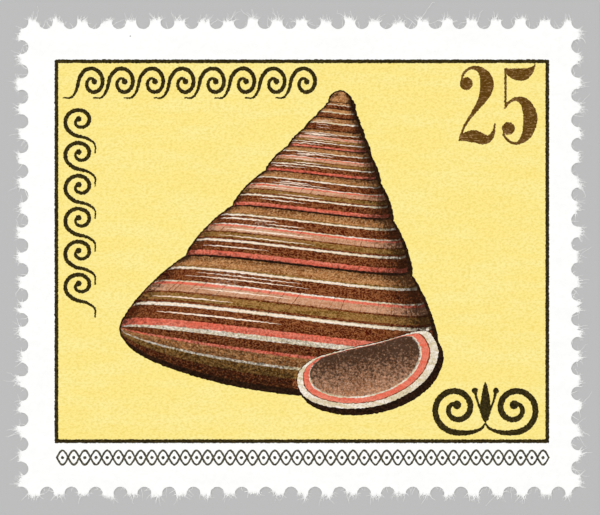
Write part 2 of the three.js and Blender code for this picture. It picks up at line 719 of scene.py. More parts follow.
@dataclass(frozen=True)
class Numeral:
    """The value, a plain number in fat figures with thin hairlines and round ends.

    Attributes:
        left, foot: the number's bottom left corner.
        height: of a figure.
        advance: from the first figure to the next.
        stretch: how much wider the figures are than their paths.
    """

    left: float = 9.17
    foot: float = 6.64
    height: float = 4.62
    advance: float = 2.50
    stretch: float = 1.1

    # Pen paths as x, before the stretch, y and width, in parts of a figure's height.
    TWO = (
        (0.060, 0.800, 0.020), (0.085, 0.900, 0.030), (0.170, 0.975, 0.036), (0.275, 0.950, 0.085),
        (0.345, 0.845, 0.160), (0.352, 0.715, 0.170), (0.300, 0.570, 0.110), (0.195, 0.400, 0.050),
        (0.100, 0.240, 0.032), (0.048, 0.090, 0.030),
    )
    TWO_FOOT = (
        (0.040, 0.060, 0.030), (0.110, 0.098, 0.120), (0.210, 0.105, 0.160), (0.310, 0.070, 0.135),
        (0.385, 0.085, 0.085), (0.430, 0.160, 0.045), (0.448, 0.260, 0.022),
    )
    FIVE = (
        (0.075, 0.470, 0.030), (0.115, 0.535, 0.034), (0.200, 0.580, 0.050), (0.300, 0.535, 0.120),
        (0.358, 0.400, 0.172), (0.360, 0.270, 0.175), (0.318, 0.120, 0.125), (0.225, 0.022, 0.046),
        (0.130, 0.035, 0.034), (0.065, 0.110, 0.030), (0.055, 0.190, 0.022),
    )
    FIVE_STEM = ((0.078, 0.475, 0.030), (0.078, 0.700, 0.030), (0.078, 0.955, 0.030))
    FIVE_FLAG = (
        (0.072, 0.962, 0.024), (0.120, 0.925, 0.090), (0.200, 0.895, 0.150), (0.285, 0.895, 0.158),
        (0.360, 0.935, 0.095), (0.405, 0.985, 0.032), (0.420, 1.015, 0.018),
    )
    TWO_BALL = (0.118, 0.775)
    FIVE_BALL = (0.112, 0.205)
    BALL_RADIUS = 0.082

    def patches(self) -> list[Patch]:
        """Draws the figures' strokes and balls.

        Returns:
            The patches of the number.
        """
        loops = [self.drawn(path, 0.0) for path in (self.TWO, self.TWO_FOOT)]
        loops += [self.drawn(path, self.advance) for path in (self.FIVE, self.FIVE_STEM, self.FIVE_FLAG)]
        loops += [self.ball(self.TWO_BALL, 0.0), self.ball(self.FIVE_BALL, self.advance)]
        return [Patch(Ink.NUMERAL, printed(loop)) for loop in loops]

    def drawn(self, path: Sequence[Sequence[float]], across: float) -> Loop:
        """Returns the outline of one pen path, set across by some way."""
        line = curve_through(path, 9) * self.height * (self.stretch, 1, 1)
        return stroke(line[:, :2] + (self.left + across, self.foot), line[:, 2])

    def ball(self, centre: Point, across: float) -> Loop:
        """Returns the round end of a hairline, set across by some way."""
        x = self.left + across + centre[0] * self.height * self.stretch
        return disc((x, self.foot + centre[1] * self.height), self.BALL_RADIUS * self.height, 26)


@dataclass(frozen=True)
class Ramp:
    """A part of the picture's shading that rises from one value to another.

    Attributes:
        start, end: where it starts and where it is full.
        strength: how dark it is there.
    """

    start: float
    end: float
    strength: float

    def at(self, value: np.ndarray) -> np.ndarray:
        """Returns how dark it is at some values."""
        return self.strength * smoothstep(self.start, self.end, value)


@dataclass(frozen=True)
class FinePen:
    """A pen for the picture's fine lines, which thin out towards both their ends.

    Attributes:
        ink: what it draws in.
        widths: the least and the most width of a line on the lowest whorl.
        thinning: how much finer the lines of smaller whorls are, as a power of the growth.
        taper: between which parts of half a wave, in radians, a line is thick.
        points: how many points a line has.
        seed: for the random part.
    """

    ink: Ink
    widths: Point
    thinning: float
    taper: Point
    points: int
    seed: int


@dataclass(frozen=True)
class TopShell:
    """The picture: a banded top shell, tip up, mouth at the lower right.

    The shell's own coordinates are a, down its axis from the tip, and b, across it to the right.
    On the cone, s counts whorls from the keel, negative towards the tip, and phi is the angle
    round the axis, 0 in front. A line of equal s is a spiral.

    Attributes:
        tip: the shell's tip.
        lean: how far the tip leans to the right.
        height: from the tip to the keel in front.
        flare: the radius, over the distance from the tip.
        growth: how much each whorl is larger than the one before.
        whorls: how many are drawn.
        banded_whorls: how many of them have all the bands. The rest, at the tip, are simpler.
        bulge: how far a whorl swells, over the radius.
        fullness: how soon it swells from its seams. Less is sooner.
        base_depth: how far the base reaches below the keel.
        base_fullness: how soon the base gets deep from its sides. Less is sooner.
        base_taper: how much narrower the base gets downwards.
        cap_radius: of the first whorl at the very tip, over the cone's width there.
        contour: the width of the dark outline.
        heavy: how much further the outline reaches to the right and down, on the shaded side.
        mouth: knots of the mouth's outline, in the shell's own coordinates.
        mouth_focus: the point that the lip's rings draw in to.
        edge_step: from one point of a printed edge to the next.
        edge_shake: how uneven the edges are.
        growth_pen: draws the fine lines across the whorls.
        glint_pen: draws the white lines along them.
    """

    tip: Point = (2.6, 10.0)
    lean: float = math.radians(12)
    height: float = 15.1
    flare: float = 0.6
    growth: float = 1.42
    whorls: int = 8
    banded_whorls: int = 5
    bulge: float = 0.055
    fullness: float = 0.7
    base_depth: float = 2.9
    base_fullness: float = 0.8
    base_taper: float = 0.1
    cap_radius: float = 0.56
    contour: float = 0.09
    heavy: Point = (0.23, -0.31)
    mouth: tuple[Point, ...] = (
        (13.05, 7.35), (13.25, 8.15), (14.2, 8.66), (15.7, 8.30), (17.1, 7.05), (18.1, 5.2),
        (18.5, 3.1), (18.2, 1.45), (17.15, 0.85), (16.1, 1.4), (15.2, 2.9), (14.15, 5.2),
    )
    mouth_focus: Point = (15.3, 3.9)
    edge_step: float = 0.08
    edge_shake: float = 0.045
    growth_pen: FinePen = FinePen(
        Ink.RED_BROWN, widths=(0.015, 0.045), thinning=0.6, taper=(0.3, 2.9), points=14, seed=11
    )
    glint_pen: FinePen = FinePen(
        Ink.WHITE, widths=(0.05, 0.12), thinning=0.7, taper=(0.15, 3.0), points=12, seed=23
    )

    # The visible half turn round the axis.
    HALF_TURN = np.radians(np.linspace(-90, 90, 61))
    # Bands from a whorl's upper seam to its lower one, each with the place where it ends.
    BANDS = (
        (0.035, Ink.BLACK), (0.190, Ink.TAN), (0.215, Ink.OLIVE), (0.250, Ink.CREAM),
        (0.425, Ink.RED_BROWN), (0.445, Ink.CREAM), (0.480, Ink.CORAL), (0.575, Ink.ROSE),
        (0.600, Ink.RED_BROWN), (0.690, Ink.OLIVE), (0.725, Ink.RED_BROWN), (0.765, Ink.CREAM),
        (0.925, Ink.RED_BROWN), (1.000, Ink.CORAL),
    )
    TIP_BANDS = ((0.10, Ink.BLACK), (0.45, Ink.TAN), (0.55, Ink.CREAM), (1.0, Ink.RED_BROWN))
    BASE_BANDS = (
        (0.10, Ink.CREAM), (0.30, Ink.RED_BROWN), (0.36, Ink.CORAL), (0.56, Ink.TAN),
        (0.61, Ink.CREAM), (0.80, Ink.OLIVE), (1.00, Ink.RED_BROWN),
    )
    # Rings of the mouth, each with its share of the mouth's size.
    MOUTH_RINGS = (
        (1.0, Ink.CREAM), (0.905, Ink.RED_BROWN), (0.89, Ink.CORAL), (0.80, Ink.CREAM), (0.77, Ink.ROSE),
    )

    # The growth lines: their ends by the depth in a whorl, and by phi in degrees the part of the
    # shell that they cover, the pitch on the lowest whorl and how much wider it gets with each
    # further one, how far a line strays and slants, and how near the rim it may come.
    LINE_DEPTHS = (0.04, 0.97)
    LINE_TURNS = (-84, 84)
    LINE_PITCH = (7, 2.5)
    LINE_STRAY = 3
    LINE_SLANT = 13
    LINE_RIM = 88
    # The bright lines in the wide pale bands: the least depth of such a band, the share of it that
    # a line takes up, and by phi in degrees where it starts and how far it runs.
    CORE_BAND = 0.03
    CORE_SHARE = 0.5
    CORE_TURN = (-82, 128)
    # The glints: their depths in a whorl and how far these stray, and by phi in degrees between
    # which angles their middles lie, and how far they reach from there.
    GLINT_DEPTHS = (0.31, 0.36, 0.52, 0.66, 0.84)
    GLINT_STRAY = 0.02
    GLINT_TURNS = (-50, -16)
    GLINT_REACHES = (12, 34)

    # Shading of the flanks, by phi in degrees, and of the seams, by the depth in a whorl.
    RIGHT_FLANK = Ramp(22, 92, 0.95)
    LEFT_FLANK = Ramp(-60, -92, 0.5)
    UPPER_SEAM = Ramp(0.17, 0.0, 0.55)
    LOWER_SEAM = Ramp(0.84, 1.0, 0.3)
    # The least shading of a whorl, and that of the mouth's lip.
    LEAST_DARK = 0.1
    LIP_DARK = 0.12
    # How far the lip's shading reaches, over the mouth's size, and how far the mouth's own shading
    # reaches over the innermost ring.
    LIP_REACH = 1.05
    MOUTH_OVERLAP = 0.04
    # The base: how dark it is at the keel, how much darker at its foot, and its share of the
    # flanks' shading.
    BASE_DARK = (0.35, 0.5, 0.5)
    # The gloss: how strong it is, and its middle and width by phi and by the depth in a whorl.
    GLOSS = 0.42
    GLOSS_TURN = (-36, 13)
    GLOSS_DEPTH = (0.40, 0.26)
    # Shading inside the mouth, as strength, start and reach, by a and by b.
    MOUTH_DEPTH = ((0.775, 18.0, 3.2), (0.475, 7.5, 5.5))

    def place(self, a: np.ndarray, b: np.ndarray) -> Loop:
        """Finds points of the shell on the print.

        Args:
            a: how far down the axis they lie.
            b: how far across it.

        Returns:
            Their places.
        """
        sine, cosine = math.sin(self.lean), math.cos(self.lean)
        x = self.tip[0] - a * sine + b * cosine
        y = self.tip[1] - a * cosine - b * sine
        return np.stack([x, y], axis=-1)

    def locate(self, points: Loop) -> tuple[np.ndarray, np.ndarray]:
        """Finds places of the print on the shell.

        Args:
            points: the places.

        Returns:
            How far down the axis and how far across it they lie.
        """
        sine, cosine = math.sin(self.lean), math.cos(self.lean)
        x, y = (points - np.array(self.tip)).T
        return -x * sine - y * cosine, x * cosine - y * sine

    def on_cone(self, s: np.ndarray, phi: np.ndarray) -> Loop:
        """Finds points of the whorls on the print.

        Args:
            s: their whorls.
            phi: their angles.

        Returns:
            Their places.
        """
        s, phi = np.broadcast_arrays(s, phi)
        a = self.height * self.growth ** (s - phi / (2 * math.pi))
        swell = np.sin(math.pi * (s - np.floor(s))) ** self.fullness
        return self.place(a, a * self.flare * (1 + self.bulge * swell) * np.sin(phi))

    def on_base(self, v: np.ndarray, phi: np.ndarray) -> Loop:
        """Finds points of the base on the print.

        Args:
            v: how far down the base they lie, from 0 at the keel to 1.
            phi: their angles.

        Returns:
            Their places.
        """
        v, phi = np.broadcast_arrays(v, phi)
        keel = self.height * self.growth ** (-phi / (2 * math.pi))
        a = keel + v * self.base_depth * np.abs(np.cos(phi)) ** self.base_fullness
        taper = 1 - self.base_taper * v * np.cos(phi) ** 2
        return self.place(a, keel * self.flare * np.sin(phi) * taper)

    def bands(self, surface: Callable[..., Loop], bands: Sequence, upper: float) -> list[Patch]:
        """Draws bands between spirals of a surface.

        Args:
            surface: on_cone or on_base.
            bands: the bands, each with the place where it ends.
            upper: where the first band starts.

        Returns:
            The bands.
        """
        found, turn = [], self.HALF_TURN
        for start, end, ink in self.spans(bands):
            first, last = upper + start, upper + end
            rim = np.linspace(first, last, 5)[1:-1]
            found.append(Patch(ink, np.vstack([
                surface(first, turn), surface(rim, turn[-1]),
                surface(last, turn[::-1]), surface(rim[::-1], turn[0]),
            ])))
        return found

    @staticmethod
    def spans(bands: Sequence[tuple[float, Ink]]) -> list[tuple[float, float, Ink]]:
        """Returns where each band starts and ends, and its ink."""
        starts = [0.0, *(end for end, _ in bands)]
        return [(start, end, ink) for start, (end, ink) in zip(starts, bands)]

    def silhouette(self) -> Loop:
        """Draws the outline of the whole shell but for its mouth.

        Returns:
            The outline.
        """
        s = np.linspace(-self.whorls, 0, self.whorls * 16 + 1)
        turn = self.HALF_TURN
        left, right = self.on_cone(s, turn[0]), self.on_cone(s[::-1], turn[-1])
        return np.vstack([left, self.on_base(1.0, turn)[1:-1], right])

    def mouth_ring(self, share: float) -> Loop:
        """Draws the mouth's outline, drawn in towards its focus.

        Args:
            share: its size, over that of the mouth.

        Returns:
            The ring.
        """
        knots = self.place(*np.array(self.mouth).T)
        focus = self.place(*np.array(self.mouth_focus))
        return focus + share * (curve_through(knots, 12, closed=True) - focus)

    def tip_cap(self) -> Loop:
        """Returns the round first whorl at the very tip."""
        left, right = (self.on_cone(-float(self.whorls), math.radians(d)) for d in (-90, 90))
        return disc(tuple((left + right) / 2), float(np.hypot(*(right - left))) * self.cap_radius, 20)

    def patches(self) -> list[Patch]:
        """Draws the contour, the bands of the whorls and the base, and the mouth.

        Returns:
            The patches of the picture, the undermost first.
        """
        forms = (self.silhouette(), self.mouth_ring(1.0), self.tip_cap())
        shifts = ((0.0, 0.0), (self.heavy[0] / 2, self.heavy[1] / 2), self.heavy)
        found = [Patch(Ink.BLACK, grown(form, self.contour) + shift) for form in forms for shift in shifts]
        found.append(Patch(Ink.TAN, self.tip_cap()))
        for whorl in range(self.whorls):
            bands = self.BANDS if whorl < self.banded_whorls else self.TIP_BANDS
            found += self.bands(self.on_cone, bands, -whorl - 1)
        found += self.bands(self.on_base, self.BASE_BANDS, 0.0)
        found += self.growth_lines() + self.cores() + self.glints()
        found.append(Patch(Ink.BLACK, grown(self.mouth_ring(1.0), 0.5 * self.contour)))
        found += [Patch(ink, self.mouth_ring(share)) for share, ink in self.MOUTH_RINGS]
        return [Patch(p.ink, printed(p.loop, self.edge_step, self.edge_shake)) for p in found]

    def growth_lines(self) -> list[Patch]:
        """Draws fine lines across the whorls, slanting as the shell's growth does.

        Returns:
            The lines.
        """
        pen, rim = self.growth_pen, np.radians(self.LINE_RIM)
        rng = np.random.default_rng(pen.seed)
        slant = self.LINE_SLANT * np.linspace(0, 1, pen.points)
        found = []
        for whorl in range(self.banded_whorls):
            s = -whorl - 1 + np.linspace(*self.LINE_DEPTHS, pen.points)
            for start in np.arange(*self.LINE_TURNS, self.LINE_PITCH[0] + self.LINE_PITCH[1] * whorl):
                phi = np.radians(start + rng.uniform(-self.LINE_STRAY, self.LINE_STRAY) - slant)
                found.append(self.fine_line(pen, rng, whorl, s, np.clip(phi, -rim, rim)))
        return found

    def fine_line(
        self, pen: FinePen, rng: np.random.Generator, whorl: int, s: np.ndarray, phi: np.ndarray
    ) -> Patch:
        """Draws a fine line.

        Args:
            pen: what it is drawn with.
            rng: for the line's width.
            whorl: which whorl it lies on, counted from the lowest one.
            s: the places of its points in the whorls.
            phi: their angles.

        Returns:
            The line.
        """
        width = rng.uniform(*pen.widths) * self.growth ** (-pen.thinning * whorl)
        taper = np.sin(np.linspace(*pen.taper, pen.points))
        return Patch(pen.ink, stroke(self.on_cone(s, phi), width * taper, 2))

    def cores(self) -> list[Patch]:
        """Draws a bright line along each wide pale band, which thins out at both its ends.

        Returns:
            The lines.
        """
        along = np.linspace(0, 1, 40)
        phi = np.radians(self.CORE_TURN[0] + self.CORE_TURN[1] * along)
        found = []
        for whorl in range(self.banded_whorls):
            for start, end, ink in self.spans(self.BANDS):
                if ink is Ink.CREAM and end - start > self.CORE_BAND:
                    s = (start + end) / 2 - whorl - 1
                    width = (end - start) * math.log(self.growth) * self.height * self.growth**s
                    pen = self.CORE_SHARE * width * np.sin(math.pi * (0.02 + 0.96 * along)) ** 0.6
                    found.append(Patch(Ink.WHITE, stroke(self.on_cone(s, phi), pen, 2)))
        return found

    def glints(self) -> list[Patch]:
        """Draws thin white lines along the whorls where the light catches them.

        Returns:
            The lines.
        """
        pen, stray = self.glint_pen, self.GLINT_STRAY
        rng = np.random.default_rng(pen.seed)
        found = []
        for whorl in range(self.banded_whorls + 1):
            for depth in self.GLINT_DEPTHS:
                middle, reach = rng.uniform(*self.GLINT_TURNS), rng.uniform(*self.GLINT_REACHES)
                phi = np.radians(np.linspace(middle - reach, middle + reach, pen.points))
                s = -whorl - 1 + depth + rng.uniform(-stray, stray)
                found.append(self.fine_line(pen, rng, whorl, s, phi))
        return found

    def shade(self, points: Loop) -> tuple[np.ndarray, np.ndarray, np.ndarray]:
        """Shades the picture.

        Args:
            points: places on the print.

        Returns:
            How dark the shading is there and how light the gloss, each 0 to 1, and the flow, which
            is how far each place lies along its band and across the bands, in millimetres.
        """
        a, b = self.locate(points)
        a = np.maximum(a, 0.05)
        phi = np.arcsin(np.clip(b / (a * self.flare), -1, 1))
        s = np.log(a / self.height) / math.log(self.growth) + phi / (2 * math.pi)
        dark, gloss = self.whorl_shade(np.degrees(phi), s - np.floor(s))
        v = np.clip((a - self.height * self.growth ** (-phi / (2 * math.pi))) / self.base_depth, 0, 2)
        least, rise, share = self.BASE_DARK
        base = least + rise * v + share * self.flank_shade(np.degrees(phi))
        dark = np.where(s > 0, base, dark)
        dark, on_lip = self.mouth_shade(points, a, b, dark)
        across = np.where(s > 0, a, self.height * self.growth**s)
        flow = np.stack([phi * across * self.flare, across, 0 * a], axis=1)
        return np.clip(dark, 0, 1), np.where(on_lip | (s > 0), 0.0, gloss), flow

    def flank_shade(self, degrees: np.ndarray) -> np.ndarray:
        """Returns how dark the flanks are at some angles."""
        return self.RIGHT_FLANK.at(degrees) + self.LEFT_FLANK.at(degrees)

    def whorl_shade(self, degrees: np.ndarray, depth: np.ndarray) -> tuple[np.ndarray, np.ndarray]:
        """Shades the whorls.

        Args:
            degrees: the angles of some points.
            depth: how deep each point lies in its whorl, 0 to 1.

        Returns:
            How dark the shading is at the points and how light the gloss.
        """
        seams = self.UPPER_SEAM.at(depth) + self.LOWER_SEAM.at(depth)
        gloss = self.GLOSS
        for value, (middle, width) in ((degrees, self.GLOSS_TURN), (depth, self.GLOSS_DEPTH)):
            gloss = gloss * np.exp(-(((value - middle) / width) ** 2))
        return self.LEAST_DARK + self.flank_shade(degrees) + seams, gloss

    def mouth_shade(
        self, points: Loop, a: np.ndarray, b: np.ndarray, dark: np.ndarray
    ) -> tuple[np.ndarray, np.ndarray]:
        """Shades the mouth and its lip.

        Args:
            points: places on the print.
            a: how far down the axis each lies.
            b: how far across it.
            dark: how dark the rest of the shell is there.

        Returns:
            How dark the shell and its mouth are, and which points lie on the mouth or by it.
        """
        lip = self.mouth_ring(self.LIP_REACH)
        innermost = grown(self.mouth_ring(self.MOUTH_RINGS[-1][0]), self.MOUTH_OVERLAP)
        on_lip, inside = (within(ring, points) for ring in (lip, innermost))
        parts = zip((a, b), self.MOUTH_DEPTH)
        depth = sum(strength * (start - value) / reach for value, (strength, start, reach) in parts)
        return np.where(inside, depth, np.where(on_lip, self.LIP_DARK, dark)), on_lip


@dataclass(frozen=True)
class Print:
    """Everything that is printed on the sheet.

    Attributes:
        frame: the frame and the field.
        shell: the picture.
        numeral: the value.
        chain: the fine chain under the frame.
        volutes: the ornament at the bottom right.
        scrolls: the bands at the top and up the left-hand side.
        speck: the middle of a faint speck on the margin.
        speck_radius: its radius.
    """

    frame: PictureFrame = PictureFrame()
    shell: TopShell = TopShell()
    numeral: Numeral = Numeral()
    chain: EyeChain = EyeChain()
    volutes: VolutePair = VolutePair()
    scrolls: tuple[WaveScroll, ...] = (
        WaveScroll(start=(-13.94, 9.28), heading=0, pitch=1.78, height=1.94, count=8, pen=0.21),
        WaveScroll(start=(-11.90, -3.55), heading=90, pitch=1.93, height=1.97, count=6, pen=0.21),
    )
    speck: Point = (-9.95, 13.01)
    speck_radius: float = 0.035

    def patches(self) -> list[Patch]:
        """Prints everything.

        Returns:
            The whole print, the undermost patch first.
        """
        parts = [self.frame, *self.scrolls, self.volutes, self.numeral, self.chain, self.shell]
        found = [patch for part in parts for patch in part.patches()]
        return [*found, Patch(Ink.FINE, disc(self.speck, self.speck_radius, 8))]


@dataclass(frozen=True)
class Mottle:
    """Noise of about 0.3 to 0.7, and where in it a colour shows.

    Attributes:
        scale: how many swells it has in a unit of length.
        detail: how many finer layers it has.
        roughness: how strong these are.
        distortion: how far it is warped.
        low, high: the values at which the colour starts to show, and at which it shows most.
        ridged: whether these count from the noise's middle, so that the colour runs in curls.
        stretch: how much the pattern is pressed together each way.
    """

    scale: float
    detail: float
    roughness: float
    distortion: float = 0.0
    low: float = 0.0
    high: float = 1.0
    ridged: bool = False
    stretch: tuple[float, float, float] = (1.0, 1.0, 1.0)


class NodeTree:
    """Adds nodes to a node tree and links them."""

    def __init__(self, tree: bpy.types.NodeTree) -> None:
        """Takes the tree to work on."""
        self.tree = tree

    def add(self, kind: str, inputs: dict | None = None, **settings: object) -> bpy.types.Node:
        """Adds a node.

        Args:
            kind: Blender's name for the node.
            inputs: a value or an output socket for each input, by name, identifier or place.
            settings: the node's own properties.

        Returns:
            The new node.
        """
        node = self.tree.nodes.new(kind)
        for name, value in settings.items():
            setattr(node, name, value)
        for key, value in (inputs or {}).items():
            self.feed(self.socket(node.inputs, key), value)
        return node

    @staticmethod
    def socket(sockets: Sequence[Socket], *keys: str | int) -> Socket:
        """Finds one of a node's inputs or outputs.

        Args:
            sockets: the node's inputs or its outputs.
            keys: the socket's place, or names or identifiers that it may have.

        Returns:
            The socket.
        """
        if isinstance(keys[0], int):
            return sockets[keys[0]]
        return next(s for s in sockets if s.enabled and (s.identifier in keys or s.name in keys))

    def feed(self, socket: Socket, value: Fed) -> None:
        """Links an output to an input, or sets the input's value.

        Args:
            socket: the input.
            value: the output, or the value.
        """
        if isinstance(value, Socket):
            self.tree.links.new(value, socket)
        else:
            socket.default_value = value

    def noise(self, place: Fed, mottle: Mottle) -> Socket:
        """Makes noise, not stretched.

        Args:
            place: where it is read.
            mottle: what it is like.

        Returns:
            The noise.
        """
        inputs = {"Vector": place, "Scale": mottle.scale, "Detail": mottle.detail}
        inputs |= {"Roughness": mottle.roughness, "Distortion": mottle.distortion}
        return self.socket(self.add("ShaderNodeTexNoise", inputs).outputs, "Fac", "Factor")

    def laid(self, value: Fed, mottle: Mottle, most: float, under: Fed, over: Colour) -> Socket:
        """Lays a colour over another, the more strongly the nearer a value is to a mottle's high.

        Args:
            value: the value.
            mottle: says where in it the upper colour starts to show, and shows most.
            most: how strongly that one shows at most.
            under: the lower colour.
            over: the upper one, as a display colour.

        Returns:
            The mixed colour.
        """
        share = self.spread(value, mottle.low, mottle.high, (0.0, most))
        under = under if isinstance(under, Socket) else (*linear(under), 1.0)
        inputs = {"Factor_Float": share, "A_Color": under, "B_Color": (*linear(over), 1.0)}
        return self.socket(self.add("ShaderNodeMix", inputs, data_type="RGBA").outputs, "Result_Color")

    def mottled(self, place: Fed, mottle: Mottle, most: float, under: Fed, over: Colour) -> Socket:
        """Lays a colour over another in the pattern of a mottle.

        Args:
            place: where the noise is read.
            mottle: the pattern.
            most: how strongly the upper colour shows at most.
            under: the lower colour.
            over: the upper one, as a display colour.

        Returns:
            The mixed colour.
        """
        value = self.noise(self.vector("MULTIPLY", place, mottle.stretch), mottle)
        if mottle.ridged:
            value = self.number("ABSOLUTE", self.number("SUBTRACT", value, 0.5))
        return self.laid(value, mottle, most, under, over)

    def spread(self, value: Fed, low: float, high: float, to: Point = (0.0, 1.0)) -> Socket:
        """Returns a value stretched from low and high to two others, and held between them."""
        inputs = {"Value": value, "From Min": low, "From Max": high, "To Min": to[0], "To Max": to[1]}
        return self.add("ShaderNodeMapRange", inputs).outputs["Result"]

    def stated(self, name: str) -> bpy.types.Node:
        """Returns a node that reads an attribute for a shader."""
        return self.add("ShaderNodeAttribute", attribute_name=name)

    def named(self, name: str, kind: str = "FLOAT") -> Socket:
        """Returns a stored attribute of some data type."""
        node = self.add("GeometryNodeInputNamedAttribute", {"Name": name}, data_type=kind)
        return self.socket(node.outputs, "Attribute")

    def stored(self, geometry: Fed, name: str, value: Fed, kind: str, domain: str) -> Socket:
        """Returns geometry with a value stored on it as an attribute."""
        inputs = {"Geometry": geometry, "Name": name, "Value": value}
        return self.add("GeometryNodeStoreNamedAttribute", inputs, data_type=kind, domain=domain).outputs[0]

    def number(self, operation: str, *values: Fed) -> Socket:
        """Returns the outcome of an operation on numbers."""
        return self.add("ShaderNodeMath", dict(enumerate(values)), operation=operation).outputs[0]

    def vector(self, operation: str, *values: Fed) -> Socket:
        """Returns the outcome of an operation on vectors."""
        return self.add("ShaderNodeVectorMath", dict(enumerate(values)), operation=operation).outputs[0]

    def scaled(self, vector: Fed, scale: Fed) -> Socket:
        """Returns a vector times a number."""
        return self.add("ShaderNodeVectorMath", {0: vector, "Scale": scale}, operation="SCALE").outputs[0]

    def joined(self, x: Fed, y: Fed, z: Fed = 0.0) -> Socket:
        """Returns a vector of some numbers."""
        return self.add("ShaderNodeCombineXYZ", {"X": x, "Y": y, "Z": z}).outputs[0]


def linear(colour: Colour) -> Colour:
    """Returns a display colour as the linear colour that a shader takes."""
    return tuple(c / 12.92 if c <= 0.04045 else ((c + 0.055) / 1.055) ** 2.4 for c in colour)


def plain_material(name: str, colour: Colour, roughness: float) -> bpy.types.Material:
    """Makes a material of one colour.

    Args:
        name: its name.
        colour: what it shows, as a display colour.
        roughness: of the surface.

    Returns:
        The material.
    """
    material = bpy.data.materials.new(name)
    material.use_nodes = True
    inputs = material.node_tree.nodes["Principled BSDF"].inputs
    inputs["Base Color"].default_value = (*linear(colour), 1)
    inputs["Roughness"].default_value = roughness
    return material


def placed(name: str, data: bpy.types.ID) -> bpy.types.Object:
    """Puts an object in the scene.

    Args:
        name: its name.
        data: its mesh, light or camera.

    Returns:
        The new object.
    """
    new = bpy.data.objects.new(name, data)
    bpy.context.collection.objects.link(new)
    return new


def store(mesh: bpy.types.Mesh, **attributes: np.ndarray) -> None:
    """Stores attributes on a mesh's points.

    Args:
        mesh: the mesh.
        attributes: a number or a vector for each point, by the attribute's name.
    """
    for name, values in attributes.items():
        kind, key = ("FLOAT", "value") if values.ndim == 1 else ("FLOAT_VECTOR", "vector")
        mesh.attributes.new(name, kind, "POINT").data.foreach_set(key, values.ravel())


